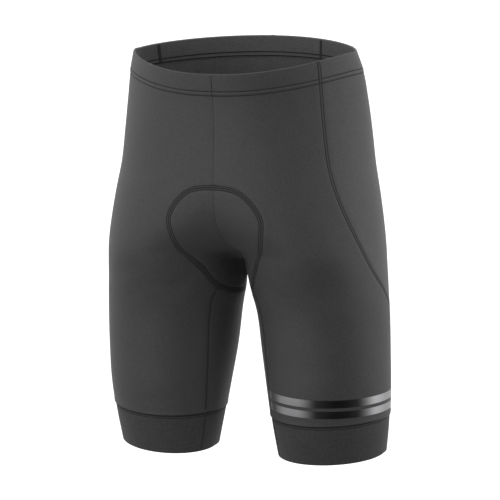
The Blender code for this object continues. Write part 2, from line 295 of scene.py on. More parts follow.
class ShortsSizes(PropertyGroup):
    """Sizes of the sewing."""
    stitch_pitch: length_setting(
        "Stitch pitch", "From one stitch to the next along a row", 0.0028, 0.0015, 0.006)
    thread_thickness: length_setting(
        "Thread thickness", "Thickness of the textured sewing thread", 0.00055, 0.0002, 0.001)
    seam_width: length_setting(
        "Flat seam width", "Width of the flat seams between the panels", 0.0052, 0.003, 0.008)
    band_upper_row: length_setting(
        "Upper band row", "First stitch row, below the top edge", 0.0215, 0.015, 0.024)
    band_lower_row: length_setting(
        "Lower band row", "Second stitch row, below the top edge", 0.0265, 0.024, 0.0275)
    cuff_row: length_setting(
        "Gripper row", "Stitch row on the gripper, below its seam", 0.0045, 0.002, 0.01)
    film_thickness: length_setting(
        "Film thickness", "Thickness of the pressed-on reflective film", 0.00015, 0.0001, 0.0005)
    rib_count: IntProperty(
        name="Film ribs", description="Knit ribs that print through the film, per centimetre",
        default=9, min=4, max=20)


class ShortsColours(PropertyGroup):
    """Colours of the cloth, thread and film, as linear values."""
    cloth: colour_setting("Panel knit", "Front and back panels", "panel_knit")
    side: colour_setting("Side knit", "Side panels", "side_knit")
    gripper: colour_setting("Gripper knit", "Ribbed leg grippers", "gripper_knit")
    thread: colour_setting("Thread", "Sewing thread", "seam_thread")
    film: colour_setting("Film", "Reflective stripes", "reflective_film")


# The skin

def smooth(rows, column, height):
    """Read one column of a table at any height, on a smooth curve through its rows."""
    down = -rows.height
    value = getattr(rows, column)
    step = np.diff(down)
    slope = np.diff(value) / step
    tangent = np.empty_like(value)
    tangent[1:-1] = (slope[:-1] * step[1:] + slope[1:] * step[:-1]) / (step[1:] + step[:-1])
    tangent[[0, -1]] = slope[[0, -1]]
    at = -np.asarray(height, float)
    low = np.clip(np.searchsorted(down, at) - 1, 0, len(step) - 1)
    s = np.clip((at - down[low]) / step[low], -1.0, 1.2)
    start = (1 + 2 * s) * (1 - s) ** 2 * value[low] + s * (1 - s) ** 2 * step[low] * tangent[low]
    end = s * s * (3 - 2 * s) * value[low + 1] - s * s * (1 - s) * step[low] * tangent[low + 1]
    return start + end


def cut(height):
    """The section at a height, read from the table."""
    return type(SECTIONS)(height, *(smooth(SECTIONS, name, height)
                                    for name in SECTIONS._fields[1:]))


def meeting_angle(height):
    """Angle from the outer side at which the skin reaches the centre line."""
    return angle_at(height, 0.0)


def angle_at(height, width):
    """Angle from the outer side at which the skin lies this far from the centre line."""
    at = cut(height)
    centre = (at.outer + at.inner) / 2
    reach = (at.outer - at.inner) / 2
    wide = np.sqrt(width ** 2 + ARCH ** 2)
    return np.pi - np.arccos(np.clip((centre - wide) / reach, -1.0, 1.0))


def skin(angle, height):
    """Points of the left half's skin, at an angle round it and a height."""
    at = cut(height)
    across = (at.outer - at.inner) / 2 * np.cos(angle)
    wide = (at.outer + at.inner) / 2 + across
    depth = np.where(np.sin(angle) < 0, at.front + at.middle, at.back - at.middle)
    y = depth * np.sin(angle) * (1 - at.pinch * np.cos(angle) ** 2) + at.lean * across
    x = np.sqrt(np.maximum(wide ** 2 - ARCH ** 2, 0.0))
    return np.stack([x, at.middle + y, height + 0 * angle], axis=-1)


def in_section(point):
    """Where a point lies in its section, sideways and back, as shares of the oval's reach."""
    at = cut(point[..., 2])
    across = np.sqrt(point[..., 0] ** 2 + ARCH ** 2) - (at.outer + at.inner) / 2
    back = point[..., 1] - at.middle - at.lean * across
    depth = np.where(back < 0, at.front + at.middle, at.back - at.middle)
    share = across / ((at.outer - at.inner) / 2)
    return share, back / (depth * (1 - at.pinch * share ** 2))


def skin_level(point):
    """Zero on the skin, above zero outside it."""
    across, back = in_section(point)
    return across ** 2 + back ** 2 - 1


def level_slope(point):
    """How the level changes with place."""
    return np.stack([
        (skin_level(point + PROBE * axis) - skin_level(point - PROBE * axis)) / (2 * PROBE)
        for axis in np.eye(3)
    ], axis=-1)


def unit(vector):
    """The same directions with length one."""
    return vector / np.linalg.norm(vector, axis=-1, keepdims=True)


def outward(point):
    """Unit vector square to the skin, pointing out of the cloth."""
    return unit(level_slope(point))


def settle_on_skin(point):
    """Move points that lie near the skin onto it."""
    for _ in range(SKIN_ROUNDS):
        slope = level_slope(point)
        step = skin_level(point) / np.sum(slope ** 2, axis=-1)
        point = point - slope * step[..., None]
    return point


def waist_edge(angle):
    """Height of the top edge: it dips in front and rises at the back."""
    turn = np.sin(angle)
    dip = WAIST_DIP * np.abs(turn) ** WAIST_DIP_POWER
    rise = WAIST_RISE * np.abs(turn) ** WAIST_RISE_POWER
    return SIDE_RISE + np.where(turn < 0, -dip, rise)


def hem_edge(angle):
    """Height of the leg's hem."""
    forward = np.maximum(-np.sin(angle), 0.0)
    return HEM_HEIGHT + HEM_TILT * np.cos(angle) - HEM_DROP * forward ** HEM_DROP_POWER


def cuff_seam(angle):
    """Height of the seam between a panel and its gripper."""
    return hem_edge(angle) + CUFF_HEIGHT


def under_band(angle):
    """Height of the seam between the waistband and a panel."""
    return waist_edge(angle) - BAND_HEIGHT


def side_seam(label, edge):
    """The front or rear seam of a side panel, as an angle for a height."""
    return lambda height: np.radians(smooth(SIDE_SEAMS, f"{label}_{edge}", height))


def inner_seam(height):
    """The seam inside the leg, as an angle for a height."""
    return np.radians(smooth(INNER_SEAM, "angle", height))


def settle(height_of, angle_of):
    """Where a seam that runs down crosses one that runs round: its height."""
    height = height_of(0.0)
    for _ in range(SETTLE_ROUNDS):
        height = height_of(angle_of(height))
    return float(height)


# Lines on the skin

def distance_to(points, line):
    """How far points lie from a line, given by its own close points."""
    flat = points.reshape(-1, 3)
    near = np.full(len(flat), np.inf)
    for start in range(0, len(line), LINE_CHUNK):
        gap = flat[:, None, :] - line[None, start:start + LINE_CHUNK, :]
        near = np.minimum(near, np.min(np.sum(gap ** 2, axis=-1), axis=1))
    return np.sqrt(near).reshape(points.shape[:-1])


def run_length(line):
    """Length run along a line, at each of its points."""
    return np.concatenate([[0.0], np.cumsum(np.linalg.norm(np.diff(line, axis=0), axis=1))])


def read_at(at, run, field):
    """A field of vectors at lengths along its line."""
    return np.stack([np.interp(at, run, field[:, axis]) for axis in range(3)], axis=-1)


def evenly(points):
    """The same line with its points evenly apart."""
    run = run_length(points)
    count = max(2, int(round(run[-1] / LINE_STEP)) + 1)
    return read_at(np.linspace(0.0, run[-1], count), run, points)


def rounded(points):
    """A smooth curve through a few points."""
    ends = np.concatenate([[2 * points[0] - points[1]], points, [2 * points[-1] - points[-2]]])
    s = np.linspace(0.0, 1.0, CURVE_STEPS, endpoint=False)[:, None]
    runs = []
    for a, b, c, d in zip(ends, ends[1:], ends[2:], ends[3:]):
        bend = 2 * a - 5 * b + 4 * c - d + s * (3 * (b - c) + d - a)
        runs.append(b + 0.5 * s * (c - a + s * bend))
    return np.concatenate(runs + [points[-1:]])


def line_down(angle_of, top, foot):
    """A seam line down the left half, between two heights."""
    height = np.linspace(top, foot, CURVE_SAMPLES)
    return evenly(skin(angle_of(height), height))


def line_round(angle, height):
    """A seam line round the left half, through these angles and heights."""
    return evenly(skin(angle, height))


def side_line(label, edge):
    """The front or rear seam of a side panel, from the top edge to the gripper."""
    seam = side_seam(label, edge)
    return line_down(seam, settle(waist_edge, seam) - EDGE_INSET,
                     settle(cuff_seam, seam) + JOIN_INSET)


def inner_line():
    """The seam inside the leg, from the pad's seam to the hem."""
    return line_down(inner_seam, CROTCH_SEAM.height[-1],
                     settle(hem_edge, inner_seam) + EDGE_INSET)


def crotch_line():
    """The seam inside the leg, from the centre seam to the pad's seam."""
    points = rounded(skin(np.radians(CROTCH_SEAM.angle), CROTCH_SEAM.height))
    return settle_on_skin(evenly(points))


def centre_line(facing):
    """The seam down the middle, in front (-1) or behind (+1), from the top edge."""
    top = settle(waist_edge, lambda height: facing * meeting_angle(height))
    height = CROTCH_HEIGHT + (top - CROTCH_HEIGHT) * (1 - np.linspace(0, 1, CURVE_SAMPLES)) ** 2
    return line_round(facing * meeting_angle(height), height)


def pad_line():
    """The left half of the seam that holds the seat pad, from front to back."""
    top, tail = np.array([PAD_TOP]), np.array([PAD_TAIL])
    line = settle_on_skin(evenly(rounded(np.concatenate([
        skin(-meeting_angle(top), top),
        skin(np.radians(PAD_FRONT.angle), PAD_FRONT.height),
        skin(angle_at(PAD_BACK.height, PAD_BACK.width), PAD_BACK.height),
        skin(meeting_angle(tail), tail),
    ]))))
    line[[0, -1], 0] = 0.0
    return line


SIDES = (("left", 1), ("right", -1))
EDGES = ("front", "rear")
LINES = {f"{label}_{edge}": side_line(label, edge) for label, _ in SIDES for edge in EDGES}
LINES["inner"] = inner_line()
LINES["crotch"] = crotch_line()
LINES["centre_front"] = centre_line(-1)
LINES["centre_back"] = centre_line(1)
LINES["pad"] = pad_line()


# How the dressed cloth stands off the skin

def hump(gap, rise, width):
    """This high at a line, and zero well away from it."""
    return rise * np.exp(-(gap / width) ** 2)


def step_up(value, start, end):
    """Zero before start, one after end, smooth between."""
    share = np.clip((value - start) / (end - start), 0.0, 1.0)
    return share * share * (3 - 2 * share)


def band_lift(drop):
    """The waistband's face: proud of the panels, and drawn in along its two stitch rows."""
    sizes = bpy.context.scene.shorts_sizes
    rows = (sizes.band_upper_row, sizes.band_lower_row)
    lift = BAND_STEP * (1 - step_up(drop, BAND_HEIGHT - BAND_THINS, BAND_HEIGHT))
    for row in rows:
        lift = lift - hump(drop - row, *BAND_DIP)
    return lift + hump(drop - sum(rows) / 2, *BAND_RIDGE)


def cuff_lift(drop):
    """The gripper's face: it pulls in below its seam and is drawn in at its stitch row."""
    row = bpy.context.scene.shorts_sizes.cuff_row
    return hump(drop - row / 2, *CUFF_RIDGE) - hump(drop - row, *CUFF_DIP) - CUFF_STEP


def panel_lift(label, points, height, angle):
    """The panels' face: drawn in at the seams, and eased over the gripper."""
    share, off, swell = SWELL
    lift = hump(height - cuff_seam(angle) - EASE_HEIGHT, *PANEL_EASE)
    for name, (depth, width) in ((f"{label}_front", SIDE_DIP), (f"{label}_rear", SIDE_DIP),
                                 ("inner", INNER_DIP), ("pad", PAD_DIP)):
        gap = distance_to(points, LINES[name])
        lift = lift - hump(gap, depth, width) + hump(gap - off, share * depth, swell)
    for name in ("centre_front", "centre_back", "crotch"):
        lift = lift - hump(distance_to(points, LINES[name]), *CENTRE_DIP)
    for fold in FOLDS:
        start, end = skin(np.radians([fold.angle, fold.end_angle]),
                          np.array([fold.height, fold.end_height]))
        line = settle_on_skin(np.linspace(start, end, TROUGH_POINTS))
        lift = lift - hump(distance_to(points, line), fold.depth, fold.width)
    return lift


def line_lift(line):
    """How far the dressed cloth stands off the skin along a seam line."""
    across, back = in_section(line)
    angle = np.arctan2(back, across)
    drop = waist_edge(angle) - line[:, 2]
    below = cuff_seam(angle) - line[:, 2]
    lift = np.where(below > 0, cuff_lift(below), -SEAM_SINK)
    return np.where(drop < BAND_HEIGHT, band_lift(np.maximum(drop, 0.0)), lift)


# Meshes

def crowded(count, start, end):
    """Shares from 0 to 1, closer together towards the start and the end."""
    at = np.linspace(0.0, 1.0, CURVE_SAMPLES)
    density = 1 + (start * np.exp(-at / CROWD_REACH)
                   + end * np.exp(-(1 - at) / CROWD_REACH))
    run = np.concatenate([[0.0], np.cumsum((density[1:] + density[:-1]) / 2)])
    return np.interp(np.linspace(0.0, run[-1], count + 1), run, at)


def along_seam(angle_of, top, foot, shares, crowd=1.0):
    """Heights at shares of the length of a seam. Crowd above 1 samples its foot more."""
    height = foot + (top - foot) * (1 - np.linspace(0.0, 1.0, CURVE_SAMPLES)) ** crowd
    length = run_length(skin(angle_of(height), height))
    return np.interp(shares * length[-1], length, height)


def centre_heights(facing):
    """Heights of the rows' ends: down the centre seam, then down the inside of the leg."""
    def centre(height):
        return facing * meeting_angle(height)
    seat = along_seam(centre, settle(under_band, centre), CROTCH_HEIGHT,
                      crowded(SEAT_ROWS, TOP_CROWD, 0.0), crowd=2.0)
    leg = along_seam(inner_seam, CROTCH_HEIGHT, settle(cuff_seam, inner_seam),
                     crowded(LEG_ROWS, 0.0, FOOT_CROWD))
    return np.concatenate([seat, leg[1:]])


def seam_heights(angle_of):
    """Heights of the rows' ends on a seam of the side panel."""
    top = settle(under_band, angle_of)
    foot = settle(cuff_seam, angle_of)
    return top + (foot - top) * crowded(SEAT_ROWS + LEG_ROWS, TOP_CROWD, FOOT_CROWD)


def part_seam(angle, height, towards):
    """Move an edge off its seam line by half the gap, round the skin."""
    moved = skin(angle + PROBE, height) - skin(angle, height)
    pace = np.linalg.norm(moved, axis=-1) / PROBE
    return angle + towards * SEAM_GAP / 2 / np.maximum(pace, LEAST_PACE)


def panel_grid(rows):
    """Angles and heights of a panel, whose end rows follow the waistband and the gripper."""
    angles, heights = (np.array(part) for part in zip(*rows))
    heights[0] = under_band(angles[0])
    heights[-1] = cuff_seam(angles[-1]) + SEAM_GAP
    return angles, heights


def centre_panel(facing, seam, columns):
    """Angles and heights of a front (facing -1) or back (facing +1) panel."""
    share = crowded(columns, PANEL_CROWD, PANEL_CROWD)
    turns = 0.0 if facing < 0 else 2 * np.pi
    rows = []
    for row, (inner, outer) in enumerate(zip(centre_heights(facing), seam_heights(seam))):
        if row <= SEAT_ROWS:
            start = facing * meeting_angle(inner)
        else:
            start = part_seam(turns + inner_seam(inner), inner, -facing)
        end = part_seam(seam(outer), outer, facing)
        height = inner + (outer - inner) * share ** BEND_POWER
        rows.append((start + (end - start) * share, height))
    return panel_grid(rows)


def side_panel(front, rear, columns):
    """Angles and heights of a side panel, from the front seam to the rear one."""
    share = crowded(columns, PANEL_CROWD, PANEL_CROWD)
    rows = []
    for fore, aft in zip(seam_heights(front), seam_heights(rear)):
        start = part_seam(front(fore), fore, 1)
        end = part_seam(rear(aft), aft, -1)
        rows.append((start + (end - start) * share, fore + (aft - fore) * share))
    return panel_grid(rows)


def rolled(height, wall, rows):
    """How far below a rolled edge each row of a band lies, and how far the roll draws it in."""
    radius = wall / 2
    turn = np.radians(np.linspace(FOLD_TURN, 0.0, FOLD_ROWS))
    flat = radius + (height - radius) * crowded(rows, 0.0, 2.0)[1:]
    return (np.concatenate([radius * (1 - np.sin(turn)), flat]),
            np.concatenate([radius * (np.cos(turn) - 1), 0 * flat]))


def mirrored(points, side):
    """The same points on the wearer's left (side +1) or right (side -1)."""
    return points * np.array([side, 1.0, 1.0])


def lengths(points, axis):
    """Length run along one axis of a grid of points."""
    run = np.cumsum(np.linalg.norm(np.diff(points, axis=axis), axis=-1), axis=axis)
    pad = [(0, 0), (0, 0)]
    pad[axis] = (1, 0)
    return np.pad(run, pad)


def joined(grid, closed):
    """A grid of points, with its first column again at the end where it closes."""
    return np.concatenate([grid, grid[:, :1]], axis=1) if closed else grid


def shell(name, outer, inner, closed, materials, beside=0, inside=0, flip=False):
    """A closed wall between an outer and an inner grid, with its own cloth coordinates.

    Rows run along the first axis. A closed wall wraps from its last column to its first.
    Beside and inside are the places in the list of the material of each column on the
    outer wall, and of the inner wall.
    """
    rows, columns = outer.shape[:2]
    spans = columns if closed else columns - 1
    ring = np.concatenate([outer, inner[::-1]])
    loop = len(ring)
    base = np.arange(loop * columns).reshape(loop, columns)
    row = np.arange(loop)[:, None]
    column = np.arange(spans)[None, :]
    next_row = (row + 1) % loop
    next_column = (column + 1) % columns
    quads = np.stack([base[row, column], base[row, next_column], base[next_row, next_column],
                      base[next_row, column]], axis=-1).reshape(-1, 4)
    wide = joined(outer, closed)
    u = lengths(wide, 1)
    place = np.stack([u - u[:, u.shape[1] // 2][:, None], lengths(wide, 0)], axis=-1)
    place = np.concatenate([place, place[::-1]])
    marks = np.stack([place[row, column], place[row, column + 1], place[next_row, column + 1],
                      place[next_row, column]], axis=-2).reshape(-1, 4, 2)
    index = np.zeros((loop, spans), int) + beside
    index[loop // 2:] = inside
    index = index.reshape(-1)
    if not closed:
        level = np.arange(rows - 1)
        far = loop - 1 - level
        caps = np.concatenate([
            np.stack([base[level, edge], base[level + 1, edge], base[far - 1, edge],
                      base[far, edge]], axis=-1)[:, ::turn]
            for edge, turn in ((0, 1), (columns - 1, -1))])
        quads = np.concatenate([quads, caps])
        marks = np.concatenate([marks, place.reshape(-1, 2)[caps]])
        index = np.concatenate([index, np.zeros(len(caps), int)])
    if not flip:
        quads = quads[:, ::-1]
        marks = marks[:, ::-1]
    piece = make_piece(name, ring.reshape(-1, 3), quads.tolist(), materials)
    layer = piece.data.uv_layers.new(name="cloth")
    layer.data.foreach_set("uv", np.ascontiguousarray(marks, dtype=np.float32).ravel())
    piece.data.polygons.foreach_set("material_index", index.astype(np.int32))
    piece.data.set_sharp_from_angle(angle=np.radians(SHARP_ANGLE))
    piece.data.update()
    return piece


def make_piece(name, points, faces, materials):
    """A smooth piece of the shorts at the origin."""
    data = bpy.data.meshes.new(name)
    data.from_pydata(points.tolist(), [], faces)
    for material in materials:
        data.materials.append(material)
    data.shade_smooth()
    piece = bpy.data.objects.new(name, data)
    bpy.context.scene.collection.objects.link(piece)
    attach(piece, BODY)
    return piece


def declare_cloth(stands_for):
    """Hide the solid that a piece of cloth stands for."""
    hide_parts(stands_for)


# Sewing

def one_stitch():
    """Model one stitch: a short thread, thick in the middle and drawn in at both ends."""
    bpy.ops.object.select_all(action="DESELECT")
    bpy.ops.mesh.primitive_cylinder_add(
        vertices=5, radius=0.5, depth=0.6, end_fill_type="NGON", rotation=(0, np.pi / 2, 0))
    bpy.ops.object.transform_apply(rotation=True)
    stitch = bpy.context.object
    for way in (-1, 1):
        bpy.ops.object.mode_set(mode="EDIT")
        bpy.ops.mesh.select_all(action="DESELECT")
        bpy.ops.object.mode_set(mode="OBJECT")
        for face in stitch.data.polygons:
            face.select = face.normal.x * way > 0.9
        bpy.ops.object.mode_set(mode="EDIT")
        bpy.ops.mesh.select_mode(type="FACE")
        bpy.ops.mesh.extrude_region_move(TRANSFORM_OT_translate={"value": (0.2 * way, 0, 0)})
        bpy.ops.transform.resize(value=(1, 0.45, 0.45))
        bpy.ops.object.mode_set(mode="OBJECT")
    points = np.array([vertex.co[:] for vertex in stitch.data.vertices])
    faces = [list(face.vertices) for face in stitch.data.polygons]
    data = stitch.data
    bpy.data.objects.remove(stitch, do_unlink=True)
    bpy.data.meshes.remove(data)
    return points, faces


def along(line, square, at):
    """Place, direction along and direction out at lengths along a line."""
    run = run_length(line)
    tangent = unit(np.gradient(line, axis=0))
    return (read_at(at, run, line), unit(read_at(at, run, tangent)),
            unit(read_at(at, run, square)))


def threads(starts, ends, square, thick):
    """Stitches from starts to ends, lying on a surface with these normals."""
    unit_points, unit_faces = one_stitch()
    run = ends - starts
    side = unit(np.cross(square, run))
    points = ((starts + ends) / 2)[:, None, :] + (
        unit_points[None, :, 0, None] * run[:, None, :]
        + unit_points[None, :, 1, None] * thick * side[:, None, :]
        + unit_points[None, :, 2, None] * thick * THREAD_HEIGHT * square[:, None, :])
    count = len(unit_points)
    faces = [[corner + start for corner in face]
             for start in range(0, count * len(starts), count) for face in unit_faces]
    return points.reshape(-1, 3), faces


def stitch_count(line):
    """How many stitches a line takes, and their true pitch."""
    length = run_length(line)[-1]
    count = int(length // bpy.context.scene.shorts_sizes.stitch_pitch)
    return count, length / count


def row_of_stitches(line, square, aside, lift):
    """Ends of the stitches of one row beside a line, and the directions out."""
    count, pitch = stitch_count(line)
    middle = (np.arange(count) + 0.5) * pitch
    reach = STITCH_FILL * bpy.context.scene.shorts_sizes.stitch_pitch / 2
    ends = []
    for way in (-1, 1):
        place, tangent, up = along(line, square, middle + way * reach)
        ends.append(place + np.cross(tangent, up) * aside + up * lift)
    return (*ends, along(line, square, middle)[2])


def cross_threads(line, square, aside, lift):
    """Ends of the threads that zigzag between two rows beside a line."""
    count, pitch = stitch_count(line)
    knots = np.arange(2 * count + 1) * pitch / 2
    place, tangent, up = along(line, square, knots)
    way = np.where(np.arange(len(knots)) % 2 == 0, -1.0, 1.0)[:, None]
    corner = place + np.cross(tangent, up) * aside * way + up * lift
    return corner[:-1], corner[1:], unit(up[:-1] + up[1:])


def sew(name, line, square, side, rows, thick, lift, cross=None):
    """Rows of stitches beside a line, as one piece. Cross adds the zigzag between rows."""
    line, square = mirrored(line, side), mirrored(square, side)
    parts = [row_of_stitches(line, square, aside, lift) for aside in rows]
    thickness = [np.full(len(part[0]), thick) for part in parts]
    if cross is not None:
        parts.append(cross_threads(line, square, cross, lift - thick * CROSS_SINK))
        thickness.append(np.full(len(parts[-1][0]), thick * CROSS_THREAD))
    starts, ends, ups = (np.concatenate(part) for part in zip(*parts))
    points, faces = threads(starts, ends, ups, np.concatenate(thickness)[:, None, None])
    make_piece(name, points, faces, [stored(sewing_thread)])


def flat_strip(name, line, square, side, width, material):
    """A low welt along a line: two edges with a shallow channel between them."""
    aside = np.cross(unit(np.gradient(line, axis=0)), square) * width
    top = [line + aside * share + square * height
           for share, height in zip(STRIP_SHARES, STRIP_HEIGHTS)]
    foot = [line + aside * share - square * STRIP_DEPTH for share in STRIP_SHARES]
    shell(name, mirrored(np.array(top), side), mirrored(np.array(foot), side), False,
          [stored(material)], flip=side < 0)


def flat_seam(label, line, side, welt_of, middle=False, share=1.0):
    """A flat seam: the welt, its needle rows and the threads that cross it."""
    sizes = bpy.context.scene.shorts_sizes
    square = outward(line)
    dressed = line + square * line_lift(line)[:, None]
    width = share * sizes.seam_width
    flat_strip(f"seam_{label}", dressed, square, side, width, welt_of)
    aside = width * NEEDLE_SHARE
    rows = (-aside, 0.0, aside) if middle else (-aside, aside)
    sew(f"stitches_{label}", dressed, square, side, rows, sizes.thread_thickness, SEAM_LIFT,
        cross=aside)


def stitched_groove(label, line, square, side):
    """A row of cover stitch on plain cloth, and the groove that it draws in, with painted shade
    in it.
    """
    # The groove's strip is drawn in painted shade
    flat_strip(f"groove_{label}", line, square, side, GROOVE, dark_join)
    sew(f"stitches_{label}", line, square, side, (0.0,),
        COVER_THREADS * bpy.context.scene.shorts_sizes.thread_thickness, ROW_LIFT)


# Materials

def linear(text):
    """Linear colour of an sRGB hex value."""
    values = np.array([int(text[i:i + 2], 16) for i in (1, 3, 5)]) / 255.0
    low = values / 12.92
    high = ((values + 0.055) / 1.055) ** 2.4
    return (*np.where(values <= 0.04045, low, high).tolist(), 1.0)


def add_node(tree, kind, settings=None, links=None):
    """Add a node, or take the one given, with its settings and links. Links lead from
    (node, output) pairs to the inputs that are named or numbered."""
    node = tree.nodes.new(kind) if isinstance(kind, str) else kind
    for key, value in (settings or {}).items():
        if isinstance(key, str) and hasattr(node, key):
            setattr(node, key, value)
        else:
            node.inputs[key].default_value = value
    for key, (source, output) in (links or {}).items():
        tree.links.new(source.outputs[output], node.inputs[key])
    return node


def new_material(name):
    """An empty material: its node tree, its main shader and its coordinates."""
    material = bpy.data.materials.new(name)
    material.use_nodes = True
    tree = material.node_tree
    return material, tree, tree.nodes["Principled BSDF"], add_node(tree, "ShaderNodeTexCoord")


def wave_along(tree, split, axis, spacing):
    """A sine with this spacing along one axis of the cloth."""
    turns = add_node(tree, "ShaderNodeMath", {"operation": "MULTIPLY", 1: 2 * np.pi / spacing},
                     {0: (split, axis)})
    return add_node(tree, "ShaderNodeMath", {"operation": "SINE"}, {0: (turns, 0)})


def knit(name, colour, wale, course, relief, roughness, sheen, mottle=0.20):
    """A weft knit on the cloth's own coordinates, in metres. Wale and course are the
    spacing of its columns and rows of loops."""
    material, tree, surface, place = new_material(name)
    split = add_node(tree, "ShaderNodeSeparateXYZ", links={0: (place, "UV")})
    columns = wave_along(tree, split, "X", wale)
    rows = wave_along(tree, split, "Y", course)
    loops = add_node(tree, "ShaderNodeMath", {"operation": "MULTIPLY"},
                     {0: (columns, 0), 1: (rows, 0)})
    height = add_node(tree, "ShaderNodeMath", {"operation": "ADD"},
                      {0: (columns, 0), 1: (loops, 0)})
    fine = add_node(tree, "ShaderNodeTexNoise", {"Scale": 560.0, "Detail": 3.0},
                    {"Vector": (place, "Object")})
    broad = add_node(tree, "ShaderNodeTexNoise", {"Scale": 60.0, "Detail": 4.0},
                     {"Vector": (place, "Object")})
    mix = add_node(tree, "ShaderNodeMath", {"operation": "MULTIPLY_ADD", 1: 0.2},
                   {0: (broad, "Fac"), 2: (fine, "Fac")})
    shade = add_node(tree, "ShaderNodeMapRange", {
        "From Min": 0.4, "From Max": 0.8, "To Min": 1.0 - mottle, "To Max": 1.0 + mottle},
        {"Value": (mix, 0)})
    tone = add_node(tree, "ShaderNodeVectorMath", {"operation": "SCALE", 0: colour[:3]},
                    {"Scale": (shade, 0)})
    grain = add_node(tree, "ShaderNodeMath", {"operation": "MULTIPLY_ADD", 1: 1.2},
                     {0: (fine, "Fac"), 2: (height, 0)})
    bump = add_node(tree, "ShaderNodeBump", {"Strength": 0.6, "Distance": relief},
                    {"Height": (grain, 0)})
    add_node(tree, surface, {
        "Roughness": roughness, "Sheen Weight": sheen, "Sheen Roughness": 0.45,
        "Specular IOR Level": 0.5}, {"Base Color": (tone, 0), "Normal": (bump, 0)})
    return material


def panel_knit():
    """Warp-knitted polyamide and elastane: close, smooth and slightly silky."""
    colour = bpy.context.scene.shorts_colours.cloth
    # Loops are 0.45 mm apart in such a knit, drawn at 1.2 mm so that they show.
    return knit("polyamide_elastane_knit", colour, 0.0012, 0.0016, 0.00005, 0.52, 0.10)


def side_knit():
    """The same knit, cut across its length, so that it looks slightly lighter."""
    colour = bpy.context.scene.shorts_colours.side
    return knit("polyamide_elastane_knit_crosswise", colour, 0.0016, 0.0012, 0.00005, 0.50, 0.12)


def casing_knit():
    """The back of the same knit, which shows inside the shorts, drawn lighter than the panels."""
    colour = BACK_TONE * np.array(bpy.context.scene.shorts_colours.cloth)
    return knit("back_of_knit_drawn_lighter", colour, 0.0012, 0.0016, 0.00005, 0.75, 0.10)


def gripper_knit():
    """Ribbed power knit: matt, with fine ribs that run up the leg."""
    colour = bpy.context.scene.shorts_colours.gripper
    # Ribs are 0.9 mm apart, drawn at 1.5 mm so that they show.
    return knit("ribbed_power_knit", colour, 0.0015, 0.0030, 0.00010, 0.62, 0.08, mottle=0.36)


def sewing_thread():
    """Textured polyester thread: matt and soft, darker than the knit."""
    material, tree, surface, place = new_material("textured_polyester_thread")
    noise = add_node(tree, "ShaderNodeTexNoise", {"Scale": 2600.0, "Detail": 2.0},
                     {"Vector": (place, "Object")})
    bump = add_node(tree, "ShaderNodeBump", {"Strength": 0.5, "Distance": 0.00006},
                    {"Height": (noise, "Fac")})
    add_node(tree, surface, {
        "Base Color": (*bpy.context.scene.shorts_colours.thread, 1.0), "Roughness": 0.7},
        {"Normal": (bump, 0)})
    return material


def welt(name, share, rows):
    """Knit squeezed in a flat seam, whose width is a share of the common one. It has painted
    shade in its needle rows, where the cloth is drawn in; the rows are given as shares of its own
    width from its middle."""
    material, tree, surface, place = new_material(name)
    sizes = bpy.context.scene.shorts_sizes
    width = share * sizes.seam_width
    split = add_node(tree, "ShaderNodeSeparateXYZ", links={0: (place, "UV")})
    across = add_node(tree, "ShaderNodeMath", {"operation": "MULTIPLY", 1: 1 / width},
                      {0: (split, "Y")})
    ramp = add_node(tree, "ShaderNodeValToRGB", links={"Fac": (across, 0)})
    colour = np.array(bpy.context.scene.shorts_colours.cloth)
    dark = (*(colour * NEEDLE_SHADE_TONE), 1.0)
    light = (*(colour * WELT_TONE), 1.0)
    for element, position in zip(ramp.color_ramp.elements, (0.0, 1.0)):
        element.color = light
        element.position = position
    # Painted shade along each needle row
    half = ROW_WIDTH / width / 2
    for row in rows:
        for at, tone in ((-1.5, light), (-0.8, dark), (0.8, dark), (1.5, light)):
            position = min(max(0.5 + row + at * half, 0.001), 0.999)
            ramp.color_ramp.elements.new(position).color = tone
    ripple = wave_along(tree, split, "X", sizes.stitch_pitch)
    bump = add_node(tree, "ShaderNodeBump", {"Strength": 0.5, "Distance": 0.0001},
                    {"Height": (ripple, 0)})
    add_node(tree, surface, {"Roughness": 0.7},
             {"Base Color": (ramp, "Color"), "Normal": (bump, 0)})
    return material


def seam_welt():
    """The flat seams between the panels, with two needle rows."""
    return welt("knit_in_flat_seam", 1.0, (-NEEDLE_SHARE, NEEDLE_SHARE))


def pad_welt():
    """The wider seam that holds the seat pad, with three needle rows."""
    return welt("knit_in_pad_seam", PAD_SHARE, (-NEEDLE_SHARE, 0.0, NEEDLE_SHARE))


def plain_knit(name, tone, roughness):
    """Knit without a pattern, whose tone is a share of the panels' colour."""
    material, tree, surface, _ = new_material(name)
    colour = tone * np.array(bpy.context.scene.shorts_colours.cloth)
    add_node(tree, surface, {"Base Color": (*colour, 1.0), "Roughness": roughness})
    return material


def soft_welt():
    """Knit squeezed in the seam inside the leg, which lies flatter and is hardly darker."""
    return plain_knit("knit_in_inner_leg_seam", INNER_TONE, 0.7)


def dark_join():
    """Painted shade on knit turned in at a join or drawn in by a row of stitches, where little
    light falls.
    """
    return plain_knit("knit_turned_in_at_a_join", JOIN_SHADE_TONE, 0.8)


